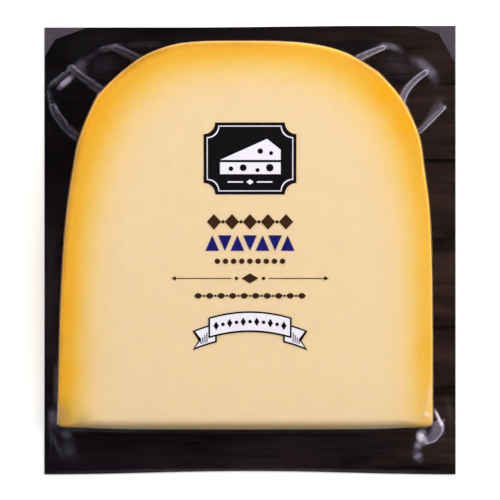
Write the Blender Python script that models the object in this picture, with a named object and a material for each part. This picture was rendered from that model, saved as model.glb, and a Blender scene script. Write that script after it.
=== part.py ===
"""A wedge of semi-hard cheese in its vacuum pack, lying flat with the shown side up.

The wedge is cut from a round wheel. Its arch is the wheel's bulging rim, its left and right
sides are the wheel's flat faces, and its straight end is the cut that took off the thin nose.
It lies on a dark base web, and a clear film is drawn down over it and out to the web's edges.

Metres, +Z up. X is the pack's width and Y its length, with the arch towards +Y. The origin is
the middle of the base web's underside.
"""

import math
from collections import namedtuple

import bmesh
import bpy
import numpy as np

# Pack: the base web and the film over it have one outline
PACK_WIDTH = 0.1233
PACK_LENGTH = 0.1345
NOSE_EDGE_DRAW = 0.0010     # how far the vacuum draws the edge below the nose inwards
BASE_THICKNESS = 0.0005
FILM_THICKNESS = 0.0003
TOUCH_GAP = 0.0003          # between pieces that touch in the real pack

# Wedge: a 48th of a wheel, which turns about a line along X
WHEEL_RADIUS = 0.1795
NOSE_RADIUS = 0.06435       # where the thin end is cut off, measured from the wheel's axis
WEDGE_ANGLE = math.radians(360 / 48)
AXIS_Y = -0.1170
AXIS_Z = BASE_THICKNESS + TOUCH_GAP
WEDGE_CENTRE_X = -0.0014
NOSE_CORNER = 0.0020        # rounding of the two corners of the face at the nose
RIM_ROUND = 0.0010          # rounding of the face's edge along the rind
NOSE_ROUND = 0.0030         # and along the nose cut, where the film pulls the soft edge over
NOSE_ROUND_RUN = 0.0080     # length over which one rounding turns into the other
UNDERSIDE_ROUND = 0.0006

# Each half of the face: its width at the nose, how much it narrows towards the rim, and how
# squarely it turns the shoulder, across the face and up it
LEFT_HALF = {"width": 0.05572, "narrowing": 0.060, "across": 3.75, "upwards": 4.06}
RIGHT_HALF = {"width": 0.05564, "narrowing": 0.023, "across": 3.06, "upwards": 5.68}

# Film: the curve at the wall's foot, and the raised line that the pocket's rim leaves
FOOT_CURVE = 0.0017
NOSE_FOOT_CURVE = 0.0032
POCKET_LEFT = -0.0603
POCKET_RIGHT = 0.0600
POCKET_TOP = 0.0619
POCKET_BOTTOM = -0.0600
POCKET_TOP_CORNER = 0.0224
POCKET_BOTTOM_CORNER = 0.0100
POCKET_LINE_HEIGHT = 0.0004
POCKET_LINE_WIDTH = 0.0016
EDGE_FADE = 0.0016          # the film lies flat again this close to the pack's edge
CORNER_LIFT = 0.0011        # the loose upper corners stand up by this much
CORNER_LIFT_REACH = 0.0130  # from the pack's corner, along both edges

# Folds of the film: a crest from the wall, past a middle point, to a tip on the base web
Fold = namedtuple("Fold", "start middle tip height width")
FOLDS = [
    Fold((-0.0440, 0.0465), (-0.0490, 0.0508), (-0.0540, 0.0550), height=0.0036, width=0.0027),
    Fold((-0.0325, 0.0570), (-0.0370, 0.0592), (-0.0414, 0.0610), height=0.0030, width=0.0024),
    Fold((-0.0508, 0.0335), (-0.0553, 0.0377), (-0.0595, 0.0430), height=0.0036, width=0.0030),
    Fold((0.0316, 0.0565), (0.0358, 0.0600), (0.0396, 0.0617), height=0.0030, width=0.0024),
    Fold((0.0448, 0.0446), (0.0492, 0.0496), (0.0534, 0.0543), height=0.0036, width=0.0028),
    Fold((0.0498, 0.0351), (0.0545, 0.0398), (0.0587, 0.0438), height=0.0034, width=0.0027),
    Fold((0.0540, -0.0465), (0.0615, -0.0530), (0.0510, -0.0590), height=0.0030, width=0.0025),
    Fold((-0.0572, -0.0465), (-0.0628, -0.0532), (-0.0560, -0.0615), height=0.0024, width=0.0027),
]
FOLD_FALL = 0.9             # how quickly a crest falls from the wall to its tip

# Mesh fineness: points round the outline, closer together where the film folds
CHEESE_POINTS = 110
FILM_POINTS = 170
FOLD_DETAIL = 4.0
FOLD_DETAIL_REACH = 0.0085
WALL_STEPS = (0.33, 0.67)
FOOT_STEPS = 3
APRON_STEPS = (0.12, 0.26, 0.42, 0.58, 0.74, 0.87, 1.0)

MATERIALS = {
    "cheese": {"colour": (0.900, 0.640, 0.330, 1.0), "roughness": 0.45, "alpha": 1.0},
    "base_web": {"colour": (0.012, 0.008, 0.008, 1.0), "roughness": 0.30, "alpha": 1.0},
    "top_film": {"colour": (0.800, 0.800, 0.820, 1.0), "roughness": 0.08, "alpha": 0.2},
}


def smooth(value):
    """A ramp from 0 to 1 that starts and ends gently."""
    value = np.clip(value, 0.0, 1.0)
    return value * value * (3 - 2 * value)


def half_face(half, steps=3000):
    """Half of the face, from the nose to the crown: distances from its middle and from the axis."""
    to_crown = np.linspace(1.0, 0.0, steps)
    up = 1 - to_crown**4
    across = half["width"] * (1 - half["narrowing"] * up)
    across *= (1 - up ** half["upwards"]) ** (1 / half["across"])
    radius = NOSE_RADIUS + up * (WHEEL_RADIUS - NOSE_RADIUS)
    below = np.clip(NOSE_CORNER - (radius - NOSE_RADIUS), 0, NOSE_CORNER)
    across -= NOSE_CORNER - np.sqrt(NOSE_CORNER**2 - below**2)
    return across, radius


def face_outline(count, detail=0.0):
    """Points round the face from the middle of the nose, with x, wheel radius and outward normal."""
    right, right_radius = half_face(RIGHT_HALF)
    left, left_radius = half_face(LEFT_HALF)
    nose = np.linspace(0.0, 1.0, 400)[:-1]
    xs = np.concatenate([nose * right[0], right, -left[::-1][1:], -left[0] * nose[::-1]])
    rs = np.concatenate([
        np.full(len(nose), NOSE_RADIUS), right_radius,
        left_radius[::-1][1:], np.full(len(nose), NOSE_RADIUS),
    ])
    xs = xs + WEDGE_CENTRE_X
    along_x = np.gradient(xs)
    along_r = np.gradient(rs)
    length = np.hypot(along_x, along_r)
    normal_x = along_r / length
    normal_r = -along_x / length

    weight = np.ones(len(xs))
    for fold in FOLDS:
        away = np.hypot(xs - fold.start[0], rs + AXIS_Y - fold.start[1])
        weight = np.maximum(weight, 1 + detail * np.exp(-((away / FOLD_DETAIL_REACH) ** 2)))
    step = np.hypot(np.diff(xs), np.diff(rs)) * (weight[1:] + weight[:-1]) / 2
    travelled = np.concatenate([[0.0], np.cumsum(step)])
    wanted = np.linspace(0.0, travelled[-1], count, endpoint=False)
    picked = [np.interp(wanted, travelled, values) for values in (xs, rs, normal_x, normal_r)]
    length = np.hypot(picked[2], picked[3])
    return picked[0], picked[1], picked[2] / length, picked[3] / length


def edge_rounding(xs, normal_r):
    """Radius of the face's rounded edge: larger along the nose than along the rind."""
    reach = np.where(xs > WEDGE_CENTRE_X, RIGHT_HALF["width"], LEFT_HALF["width"])
    from_corner = reach - NOSE_CORNER - np.abs(xs - WEDGE_CENTRE_X)
    nose = smooth(from_corner / NOSE_ROUND_RUN) * (normal_r < -0.99)
    return RIM_ROUND + (NOSE_ROUND - RIM_ROUND) * nose


def wedge_point(xs, rs, drop):
    """Points of the wedge at wheel radius rs, turned down from the upper face by a drop."""
    angle = WEDGE_ANGLE - drop / rs
    return np.stack([xs, AXIS_Y + rs * np.cos(angle), AXIS_Z + rs * np.sin(angle)], axis=1)


def rounded_rim(outline, proud, steps):
    """Rings over the face's rounded edge, from the flat face out to the side."""
    xs, rs, normal_x, normal_r = outline
    radius = edge_rounding(xs, normal_r)
    rings = []
    for turn in np.linspace(0.0, math.pi / 2, steps):
        inset = radius - (radius + proud) * math.sin(turn)
        drop = radius - (radius + proud) * math.cos(turn)
        rings.append(wedge_point(xs - normal_x * inset, rs - normal_r * inset, drop))
    return rings


def pack_bottom(xs):
    """The pack's edge below the nose, drawn in a little along its middle."""
    return -PACK_LENGTH / 2 + NOSE_EDGE_DRAW * np.cos(math.pi * xs / PACK_WIDTH) ** 2


def pocket_distance(xs, ys):
    """Distance from the line of the pocket's rim, a rectangle with rounded corners."""
    corner = np.where(ys > 0, POCKET_TOP_CORNER, POCKET_BOTTOM_CORNER)
    middle_x = (POCKET_LEFT + POCKET_RIGHT) / 2
    middle_y = (POCKET_TOP + POCKET_BOTTOM) / 2
    over_x = np.abs(xs - middle_x) - (POCKET_RIGHT - POCKET_LEFT) / 2 + corner
    over_y = np.abs(ys - middle_y) - (POCKET_TOP - POCKET_BOTTOM) / 2 + corner
    outside = np.hypot(np.maximum(over_x, 0), np.maximum(over_y, 0))
    return np.abs(outside + np.minimum(np.maximum(over_x, over_y), 0) - corner)


def fold_height(fold, xs, ys):
    """Height of one fold: a crest with steep sides, highest at the wall."""
    height = np.zeros_like(xs)
    for along in np.linspace(0.0, 1.0, 25):
        shares = ((1 - along) ** 2, 2 * along * (1 - along), along**2)
        crest_x, crest_y = np.dot(shares, (fold.start, fold.middle, fold.tip))
        away = np.hypot(xs - crest_x, ys - crest_y) / (fold.width / 2)
        crest = fold.height * (1 - along) ** FOLD_FALL
        height = np.maximum(height, crest * smooth(1.35 - away))
    return height


def film_relief(xs, ys):
    """How far the film stands off the base web, away from the wall's foot."""
    relief = POCKET_LINE_HEIGHT * smooth(1 - pocket_distance(xs, ys) / (POCKET_LINE_WIDTH / 2))
    for fold in FOLDS:
        relief = np.maximum(relief, fold_height(fold, xs, ys))
    to_edge = np.minimum(PACK_WIDTH / 2 - np.abs(xs), PACK_LENGTH / 2 - ys)
    to_edge = np.minimum(to_edge, ys - pack_bottom(xs))
    relief = relief * smooth(to_edge / EDGE_FADE)
    from_corner = (PACK_WIDTH / 2 - np.abs(xs)) + (PACK_LENGTH / 2 - ys)
    return relief + CORNER_LIFT * smooth(1 - from_corner / CORNER_LIFT_REACH)


def pack_edge(xs, ys, normal_x, normal_y):
    """Where rays from the wall's foot meet the pack's edge, with one ray to each corner."""
    half_width, half_length = PACK_WIDTH / 2, PACK_LENGTH / 2
    safe_x = np.where(np.abs(normal_x) < 1e-6, 1e-6, normal_x)
    safe_y = np.where(np.abs(normal_y) < 1e-6, 1e-6, normal_y)
    reach_x = (np.sign(safe_x) * half_width - xs) / safe_x
    reach_y = (np.sign(safe_y) * half_length - ys) / safe_y
    reach = np.minimum(reach_x, reach_y)
    edge_x = xs + normal_x * reach
    edge_y = ys + normal_y * reach
    for corner_x in (-half_width, half_width):
        for corner_y in (-half_length, half_length):
            nearest = np.argmin(np.hypot(edge_x - corner_x, edge_y - corner_y))
            edge_x[nearest], edge_y[nearest] = corner_x, corner_y
    edge_y = np.maximum(edge_y, pack_bottom(edge_x))
    return edge_x, edge_y


def film_rings(count):
    """Rings of the film's inner surface, from the face out to the pack's edge."""
    outline = face_outline(count, FOLD_DETAIL)
    xs, rs, normal_x, normal_y = outline
    rings = rounded_rim(outline, TOUCH_GAP, 4)

    web_top = BASE_THICKNESS + TOUCH_GAP
    nose_side = smooth((-normal_y - 0.3) / 0.6)
    curve = FOOT_CURVE + (NOSE_FOOT_CURVE - FOOT_CURVE) * nose_side
    ys = AXIS_Y + rs
    edge_x, edge_y = pack_edge(xs, ys, normal_x, normal_y)

    apron = []
    for turn in np.linspace(0.0, math.pi / 2, FOOT_STEPS):
        out = TOUCH_GAP + curve * (1 - math.cos(turn))
        ring_x, ring_y = xs + normal_x * out, ys + normal_y * out
        foot = curve * (1 - math.sin(turn))
        height = web_top + np.maximum(foot, film_relief(ring_x, ring_y))
        apron.append(np.stack([ring_x, ring_y, height], axis=1))
    foot_x, foot_y = apron[-1][:, 0], apron[-1][:, 1]
    for share in APRON_STEPS:
        ring_x = foot_x + (edge_x - foot_x) * share
        ring_y = foot_y + (edge_y - foot_y) * share
        height = web_top + film_relief(ring_x, ring_y)
        apron.append(np.stack([ring_x, ring_y, height], axis=1))

    for share in WALL_STEPS:
        rings.append(rings[3] + (apron[0] - rings[3]) * share)
    return rings + apron


def loft(name, rings, closed_below):
    """A surface through the rings, with a flat top and, if closed below, a flat underside."""
    shape = bmesh.new()
    rows = [[shape.verts.new(point) for point in ring] for ring in rings]
    shape.faces.new(rows[0])
    for inner, outer in zip(rows, rows[1:]):
        for here in range(len(inner)):
            after = (here + 1) % len(inner)
            shape.faces.new((inner[here], outer[here], outer[after], inner[after]))
    if closed_below:
        shape.faces.new(rows[-1][::-1])
    mesh = bpy.data.meshes.new(name)
    shape.to_mesh(mesh)
    shape.free()
    mesh.shade_smooth()
    mesh.set_sharp_from_angle(angle=math.radians(40))
    piece = bpy.data.objects.new(name, mesh)
    bpy.context.collection.objects.link(piece)
    return piece


def finish(piece):
    """Gives a piece its own material."""
    look = MATERIALS[piece.name]
    material = bpy.data.materials.new(piece.name)
    material.use_nodes = True
    shader = material.node_tree.nodes["Principled BSDF"]
    shader.inputs["Base Color"].default_value = look["colour"]
    shader.inputs["Roughness"].default_value = look["roughness"]
    shader.inputs["Metallic"].default_value = 0.0
    shader.inputs["Alpha"].default_value = look["alpha"]
    piece.data.materials.append(material)


def make_cheese():
    """The wedge: its upper face's outline, turned down about the wheel's axis to the base."""
    outline = face_outline(CHEESE_POINTS)
    xs, rs, normal_x, normal_r = outline
    rings = rounded_rim(outline, 0.0, 5)
    for turn in np.linspace(0.0, math.pi / 2, 3):
        inset = UNDERSIDE_ROUND * (1 - math.cos(turn))
        rise = UNDERSIDE_ROUND * (1 - math.sin(turn))
        side_x, side_r = xs - normal_x * inset, rs - normal_r * inset
        rings.append(wedge_point(side_x, side_r, WEDGE_ANGLE * side_r - rise))
    finish(loft("cheese", rings, closed_below=True))


def make_base_web():
    """The flat sheet under the cheese."""
    edge_x = np.linspace(-PACK_WIDTH / 2, PACK_WIDTH / 2, 33)
    bottom = [(x, pack_bottom(x)) for x in edge_x]
    top = [(PACK_WIDTH / 2, PACK_LENGTH / 2), (-PACK_WIDTH / 2, PACK_LENGTH / 2)]
    sheet = bmesh.new()
    below = sheet.faces.new([sheet.verts.new((x, y, 0.0)) for x, y in bottom + top])
    raised = bmesh.ops.extrude_face_region(sheet, geom=[below])["geom"]
    bmesh.ops.translate(
        sheet,
        verts=[part for part in raised if isinstance(part, bmesh.types.BMVert)],
        vec=(0.0, 0.0, BASE_THICKNESS),
    )
    bmesh.ops.recalc_face_normals(sheet, faces=sheet.faces)
    mesh = bpy.data.meshes.new("base_web")
    sheet.to_mesh(mesh)
    sheet.free()
    piece = bpy.data.objects.new("base_web", mesh)
    bpy.context.collection.objects.link(piece)
    finish(piece)


def make_top_film():
    """The clear film, drawn down over the cheese, with its folds, and sealed round the web."""
    film = loft("top_film", film_rings(FILM_POINTS), closed_below=False)
    wall = film.modifiers.new("wall", "SOLIDIFY")
    wall.thickness = FILM_THICKNESS
    wall.offset = 1.0
    finish(film)


for old in list(bpy.data.objects):
    bpy.data.objects.remove(old, do_unlink=True)

make_base_web()
make_cheese()
make_top_film()
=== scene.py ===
"""The looks of a vacuum-packed cheese wedge that lies flat and is seen from straight above."""

import math
from collections import namedtuple

import bpy
import numpy as np
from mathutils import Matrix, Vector, noise


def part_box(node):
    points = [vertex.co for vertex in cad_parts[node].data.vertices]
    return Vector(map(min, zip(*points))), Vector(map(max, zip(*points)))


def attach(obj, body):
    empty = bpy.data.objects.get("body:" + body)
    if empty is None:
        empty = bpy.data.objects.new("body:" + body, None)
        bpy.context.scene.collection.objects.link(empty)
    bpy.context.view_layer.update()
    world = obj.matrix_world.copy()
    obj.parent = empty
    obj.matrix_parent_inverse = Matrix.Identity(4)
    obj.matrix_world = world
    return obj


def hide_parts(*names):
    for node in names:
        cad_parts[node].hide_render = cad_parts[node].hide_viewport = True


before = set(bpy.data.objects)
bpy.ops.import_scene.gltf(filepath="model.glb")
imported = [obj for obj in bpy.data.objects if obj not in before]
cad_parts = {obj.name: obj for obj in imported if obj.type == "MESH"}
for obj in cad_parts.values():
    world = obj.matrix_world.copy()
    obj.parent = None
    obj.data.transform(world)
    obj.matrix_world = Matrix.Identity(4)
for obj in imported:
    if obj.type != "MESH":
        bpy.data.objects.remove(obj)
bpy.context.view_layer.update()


# Cheese: a wedge cut from a wheel that has ripened under a thin orange-yellow coating. The arch
# is the wheel's bulging rim, the straight end is the wire-cut nose, and the paste turns from
# orange at the rind to cream inside. It is made as a sheet wrapped round the wedge, row by row.

WHEEL_RADIUS = 0.1795
NOSE_RADIUS = 0.06540
NOSE_BULGE = 0.0013         # how far the nose bulges in its middle
CROWN_INSET = 0.0003        # how far the arch stays inside the plain shape's box
WEDGE_ANGLE = math.radians(360 / 48)
WEDGE_CENTRE_X = -0.0014
NOSE_CORNER = 0.0011
RIM_ROUND = 0.0007
NOSE_ROUND = 0.0030
NOSE_ROUND_RUN = 0.0080
UNDERSIDE_ROUND = 0.0006
NOSE_BULGE_POWER = 6        # how flat the bulge is before it falls off at the corners
CROWN_CROWDING = 4          # how much closer the outline's points lie at the crown
LEFT_HALF = {"width": 0.05572, "narrowing": 0.060, "across": 3.75, "upwards": 4.06}
RIGHT_HALF = {"width": 0.05564, "narrowing": 0.023, "across": 3.06, "upwards": 5.68}
# Where the drawn film has pressed the rind flatter, and where it bulges beside that: a place, how
# far round it this reaches, and how far the rind lies in
PRESSED = [
    (-0.0280, 0.0582, 0.0060, 0.0004), (-0.0370, 0.0532, 0.0080, 0.0010),
    (-0.0490, 0.0345, 0.0105, -0.0004), (0.0375, 0.0516, 0.0095, 0.0006),
    (0.0500, 0.0328, 0.0050, -0.0003), (0.0515, 0.0225, 0.0070, 0.0003),
    (-0.0458, 0.0457, 0.0028, -0.0004), (-0.0522, 0.0304, 0.0028, -0.0003),
    (0.0385, 0.0528, 0.0028, -0.0003),
]
web_low, web_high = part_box("base_web")
cheese_low, cheese_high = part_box("cheese")
AXIS_Y = cheese_high.y - WHEEL_RADIUS - CROWN_INSET
AXIS_Z = cheese_low.z
MIDDLE_RADIUS = (NOSE_RADIUS + WHEEL_RADIUS) / 2


def smooth(value):
    """A ramp from 0 to 1 that starts and ends gently."""
    value = np.clip(value, 0.0, 1.0)
    return value * value * (3 - 2 * value)


def near(xs, ys, spot_x, spot_y, reach):
    """How near points are to a spot: 1 on it, falling softly to nothing past its reach."""
    return np.exp(-((np.hypot(xs - spot_x, ys - spot_y) / reach) ** 2))


def half_face(half, steps=4000):
    """Half of the face, from the nose to the crown: distances from its middle and from the axis."""
    to_crown = np.linspace(1.0, 0.0, steps)
    up = 1 - to_crown**CROWN_CROWDING
    across = half["width"] * (1 - half["narrowing"] * up)
    across *= (1 - up ** half["upwards"]) ** (1 / half["across"])
    radius = NOSE_RADIUS + up * (WHEEL_RADIUS - NOSE_RADIUS)
    below = np.clip(NOSE_CORNER - (radius - NOSE_RADIUS), 0, NOSE_CORNER)
    across -= NOSE_CORNER - np.sqrt(NOSE_CORNER**2 - below**2)
    return across, radius


def pressed(side, across, radius):
    """Half of the face's edge, drawn in or out at the places where the film has shaped it."""
    xs, ys = WEDGE_CENTRE_X + side * across, AXIS_Y + radius * math.cos(WEDGE_ANGLE)
    inwards = np.zeros(len(xs))
    for spot_x, spot_y, reach, depth in PRESSED:
        inwards += depth * near(xs, ys, spot_x, spot_y, reach)
    share = 1 - inwards / np.hypot(across, radius - MIDDLE_RADIUS)
    return across * share, MIDDLE_RADIUS + (radius - MIDDLE_RADIUS) * share


right_x, right_r = pressed(1, *half_face(RIGHT_HALF))
left_x, left_r = pressed(-1, *half_face(LEFT_HALF))
rind_line = np.stack([
    np.concatenate([right_x, -left_x[::-1]]) + WEDGE_CENTRE_X,
    np.concatenate([right_r, left_r[::-1]]),
], axis=1)


def face_outline(count, busy_spots=(), detail=0.0, reach=0.009, nose_steps=400):
    """Points round the face from the middle of the nose: x, wheel radius and outward normal.

    The points lie closer together near the busy spots.
    """
    nose = np.linspace(0.0, 1.0, nose_steps)[:-1]
    nose_r = NOSE_RADIUS - NOSE_BULGE * (1 - nose**NOSE_BULGE_POWER)
    xs = np.concatenate([nose * right_x[0], right_x, -left_x[::-1][1:], -left_x[0] * nose[::-1]])
    rs = np.concatenate([nose_r, right_r, left_r[::-1][1:], nose_r[::-1]])
    xs = xs + WEDGE_CENTRE_X
    along_x, along_r = np.gradient(xs), np.gradient(rs)
    length = np.hypot(along_x, along_r)
    weight = np.ones(len(xs))
    for spot_x, spot_y in busy_spots:
        weight = np.maximum(weight, 1 + detail * near(xs, rs + AXIS_Y, spot_x, spot_y, reach))
    step = np.hypot(np.diff(xs), np.diff(rs)) * (weight[1:] + weight[:-1]) / 2
    travelled = np.concatenate([[0.0], np.cumsum(step)])
    wanted = np.linspace(0.0, travelled[-1], count, endpoint=False)
    values = (xs, rs, along_r / length, -along_x / length)
    picked = [np.interp(wanted, travelled, value) for value in values]
    length = np.hypot(picked[2], picked[3])
    return picked[0], picked[1], picked[2] / length, picked[3] / length


def edge_rounding(xs, normal_r, nose_facing=-0.95):
    """Radius of the face's rounded edge: larger where it faces the nose than along the rind."""
    reach = np.where(xs > WEDGE_CENTRE_X, RIGHT_HALF["width"], LEFT_HALF["width"])
    from_corner = reach - NOSE_CORNER - np.abs(xs - WEDGE_CENTRE_X)
    nose = smooth(from_corner / NOSE_ROUND_RUN) * (normal_r < nose_facing)
    return RIM_ROUND + (NOSE_ROUND - RIM_ROUND) * nose


def wedge_point(xs, rs, drop):
    """Points of the wedge at wheel radius rs, turned down from the upper face by a drop."""
    angle = WEDGE_ANGLE - drop / rs
    return np.stack([xs, AXIS_Y + rs * np.cos(angle), AXIS_Z + rs * np.sin(angle)], axis=1)


def face_rows(outline, proud, shares, turns):
    """Rows from the middle of the face out to its edge and over the rounding to the side."""
    xs, rs, normal_x, normal_r = outline
    radius = edge_rounding(xs, normal_r)
    edge_x, edge_r = xs - normal_x * radius, rs - normal_r * radius
    rows = []
    for share in shares:
        row_x = WEDGE_CENTRE_X + (edge_x - WEDGE_CENTRE_X) * share
        row_r = MIDDLE_RADIUS + (edge_r - MIDDLE_RADIUS) * share
        rows.append(wedge_point(row_x, row_r, -proud))
    for turn in turns:
        inset = radius - (radius + proud) * math.sin(turn)
        drop = radius - (radius + proud) * math.cos(turn)
        rows.append(wedge_point(xs - normal_x * inset, rs - normal_r * inset, drop))
    return rows


def select_none():
    """Clears the selection, so that an operator acts on the new piece alone."""
    bpy.ops.object.select_all(action="DESELECT")


def wrapped_sheet(name, rows):
    """A grid wrapped round on itself, one column to each point of the outline, its seam closed."""
    columns = len(rows[0])
    select_none()
    bpy.ops.mesh.primitive_grid_add(x_subdivisions=columns, y_subdivisions=len(rows) - 1, size=1)
    piece = bpy.context.object
    piece.name = piece.data.name = name
    closed = np.stack([np.concatenate([row, row[:1]]) for row in rows])
    piece.data.vertices.foreach_set("co", closed.reshape(-1).astype(np.float32))
    piece.data.update()
    bpy.ops.object.mode_set(mode="EDIT")
    bpy.ops.mesh.select_all(action="SELECT")
    bpy.ops.mesh.remove_doubles(threshold=1e-7)
    bpy.ops.mesh.flip_normals()
    bpy.ops.object.mode_set(mode="OBJECT")
    bpy.ops.object.shade_smooth()
    return piece


def positions(piece):
    """A mesh's vertices as an array of points."""
    points = np.empty(len(piece.data.vertices) * 3, np.float32)
    piece.data.vertices.foreach_get("co", points)
    return points.reshape(-1, 3).astype(float)


def set_positions(piece, points):
    """Puts a mesh's vertices at an array of points."""
    piece.data.vertices.foreach_set("co", points.reshape(-1).astype(np.float32))
    piece.data.update()


def vertex_normals(piece):
    """A mesh's vertex normals as an array."""
    normals = np.empty(len(piece.data.vertices) * 3, np.float32)
    piece.data.vertex_normals.foreach_get("vector", normals)
    return normals.reshape(-1, 3).astype(float)


def noise_field(points, scale, seed=0.0):
    """Smooth noise from -1 to 1 at each point."""
    places = (Vector((x * scale + seed, y * scale, z * scale)) for x, y, z in points)
    return np.array([noise.noise(place) for place in places])


def unevenness(points, broad, fine, seed):
    """Broad noise with finer noise on top, from -1 to 1 at each point."""
    return noise_field(points, broad) * 0.6 + noise_field(points, fine, seed) * 0.4


def attribute(piece, name, values):
    """Stores one number for each vertex, for the material to read."""
    layer = piece.data.attributes.new(name, "FLOAT", "POINT")
    layer.data.foreach_set("value", np.asarray(values, np.float32))


def strongest(points, spots):
    """The most that any of the spots gives each point: each has a place, a reach and a strength."""
    most = np.zeros(len(points))
    for spot_x, spot_y, reach, strength in spots:
        most = np.maximum(most, strength * near(points[:, 0], points[:, 1], spot_x, spot_y, reach))
    return most


def rind_depth(points, thinning=8, block_size=2000):
    """Distance below the rind in the plane of the face, worked out for a block of points at a time."""
    radius = np.hypot(points[:, 1] - AXIS_Y, points[:, 2] - AXIS_Z)
    depth = np.empty(len(points))
    line = rind_line[::thinning]
    for start in range(0, len(points), block_size):
        block = slice(start, start + block_size)
        away_x = points[block, 0][:, None] - line[:, 0]
        away_r = radius[block][:, None] - line[:, 1]
        depth[block] = np.sqrt(np.min(away_x**2 + away_r**2, axis=1))
    return depth


CHEESE_COLUMNS = 420
FACE_ROWS = 30
ROUNDING_ROWS = 8
SIDE_ROWS = 14
UNDERSIDE_ROUNDING_ROWS = 4
UNDERSIDE_SHARES = (0.85, 0.6, 0.3, 0.0)
FACE_SWELL = 0.00006        # how uneven the cut face is
RIND_SWELL = 0.00012        # and the rind
RIND_SWELL_REACH = 0.002
SWELL_START = 0.003         # the height at which it has its full measure
SWELL_SCALES = (45, 140)    # its broad and its fine noise, for each metre
# Where the orange reaches deeper below the rind, at the shoulders: a place, a reach and a strength
SHOULDERS = [(-0.0425, 0.0440, 0.0300, 1.0), (0.0405, 0.0450, 0.0300, 1.0)]
SHOULDER_DEPTH = 0.42
SIDE_DEPTH = 0.0007         # how much lighter the rind is on the side than at the edge
SIDE_START = 0.0010
# The paler rind at the right is partly a narrower band of orange there and partly painted light, for the
# brighter lamp on that side
RIGHT_SHIFT = 0.0014        # how much sooner it turns pale at the right
RIGHT_RUN = 0.035
RIGHT_EDGE_SHIFT = 0.0018   # and how much more at the very edge
RIGHT_EDGE_DEPTH = 0.0040
NOSE_CORNERS = [(-0.0565, -0.0500), (0.0535, -0.0505)]
CORNER_REACH = 0.0065
CORNER_SHIFT = 0.0018       # how much sooner it turns pale at the nose's two corners
# Painted shade: where the cheese's colour is darkened for the shade on and above the nose's rounded edge:
# bands along the nose, each a reach and a strength, and spots, at the nose's corners and low on the left
# side
NOSE_SHADE_BANDS = [(0.0014, 0.90), (0.0030, 0.62), (0.0160, 0.05)]
SHADE_SPOTS = [
    (-0.0580, -0.0505, 0.0060, 1.0), (-0.0510, -0.0532, 0.0045, 0.80),
    (0.0500, -0.0540, 0.0036, 0.7), (-0.0570, -0.0300, 0.0160, 0.07),
]
# Where the orange is deeper in tone, in the same way
RIPE_SPOTS = [
    (0.0395, 0.0460, 0.0058, 1.0), (0.0455, 0.0375, 0.0052, 0.9), (-0.0450, 0.0410, 0.0085, 0.6),
    (0.0505, -0.0300, 0.0050, 0.6), (-0.0545, -0.0180, 0.0090, 0.5), (-0.0535, -0.0370, 0.0050, 0.5),
]

outline = face_outline(CHEESE_COLUMNS)
face_shares = 1 - (1 - np.linspace(0.0, 1.0, FACE_ROWS)[:-1]) ** 1.5
rows = face_rows(outline, 0.0, face_shares, np.linspace(0.0, math.pi / 2, ROUNDING_ROWS))
outline_x, outline_r, outline_nx, outline_nr = outline
rounding = edge_rounding(outline_x, outline_nr)
side_drop = WEDGE_ANGLE * outline_r - UNDERSIDE_ROUND - rounding
for share in np.linspace(0.0, 1.0, SIDE_ROWS)[1:-1]:
    rows.append(wedge_point(outline_x, outline_r, rounding + side_drop * share))
for turn in np.linspace(0.0, math.pi / 2, UNDERSIDE_ROUNDING_ROWS):
    inset = UNDERSIDE_ROUND * (1 - math.cos(turn))
    side_r = outline_r - outline_nr * inset
    rise = UNDERSIDE_ROUND * (1 - math.sin(turn))
    rows.append(wedge_point(outline_x - outline_nx * inset, side_r, WEDGE_ANGLE * side_r - rise))
underside = rows[-1]
middle = np.array([WEDGE_CENTRE_X, AXIS_Y + MIDDLE_RADIUS, AXIS_Z])
for share in UNDERSIDE_SHARES:
    rows.append(middle + (underside - middle) * share)
cheese = wrapped_sheet("cheese_wedge", rows)

points = positions(cheese)
on_rind = smooth(1 - rind_depth(points) / RIND_SWELL_REACH)
above = smooth((points[:, 2] - AXIS_Z) / SWELL_START)
amount = FACE_SWELL + (RIND_SWELL - FACE_SWELL) * on_rind
swell = unevenness(points, *SWELL_SCALES, seed=7) * amount * above
points += vertex_normals(cheese) * swell[:, None]
points[:, 2] = np.maximum(points[:, 2], AXIS_Z)
set_positions(cheese, points)

radius = np.hypot(points[:, 1] - AXIS_Y, points[:, 2] - AXIS_Z)
angle = np.arctan2(points[:, 2] - AXIS_Z, points[:, 1] - AXIS_Y)
below_edge = (WEDGE_ANGLE - angle) * radius
depth = rind_depth(points) + SIDE_DEPTH * smooth(below_edge / SIDE_START - 1)
deeper = strongest(points, SHOULDERS)
edge_shift = RIGHT_EDGE_SHIFT * smooth(1 - depth / RIGHT_EDGE_DEPTH)
# Paler at the right: partly a narrower band of orange, partly painted light
paler = (RIGHT_SHIFT + edge_shift) * smooth(points[:, 0] / RIGHT_RUN) * (1 - deeper)
for corner_x, corner_y in NOSE_CORNERS:
    paler += CORNER_SHIFT * near(points[:, 0], points[:, 1], corner_x, corner_y, CORNER_REACH)
depth_mm = (depth / (1 + SHOULDER_DEPTH * deeper) + paler) * 1000

# The cheese's colour reads these three numbers of each vertex
# The painted shade along the nose's rounded edge and at its corners
painted_shade = strongest(points, SHADE_SPOTS)
for band_reach, strength in NOSE_SHADE_BANDS:
    painted_shade = np.maximum(painted_shade, strength * smooth(1 - (radius - NOSE_RADIUS) / band_reach))
attribute(cheese, "rind", depth_mm)
attribute(cheese, "ripe", strongest(points, RIPE_SPOTS))
attribute(cheese, "painted_shade", painted_shade)


def linear(red, green, blue):
    """A colour as seen on a screen, from 0 to 255, as the linear values that a shader takes."""
    shares = [value / 255 for value in (red, green, blue)]
    return [v / 12.92 if v <= 0.04045 else ((v + 0.055) / 1.055) ** 2.4 for v in shares] + [1.0]


def new_material(name):
    """A material with an empty node tree, and helpers to add and join its nodes."""
    material = bpy.data.materials.new(name)
    material.use_nodes = True
    material.node_tree.nodes.clear()
    return material, material.node_tree


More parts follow.
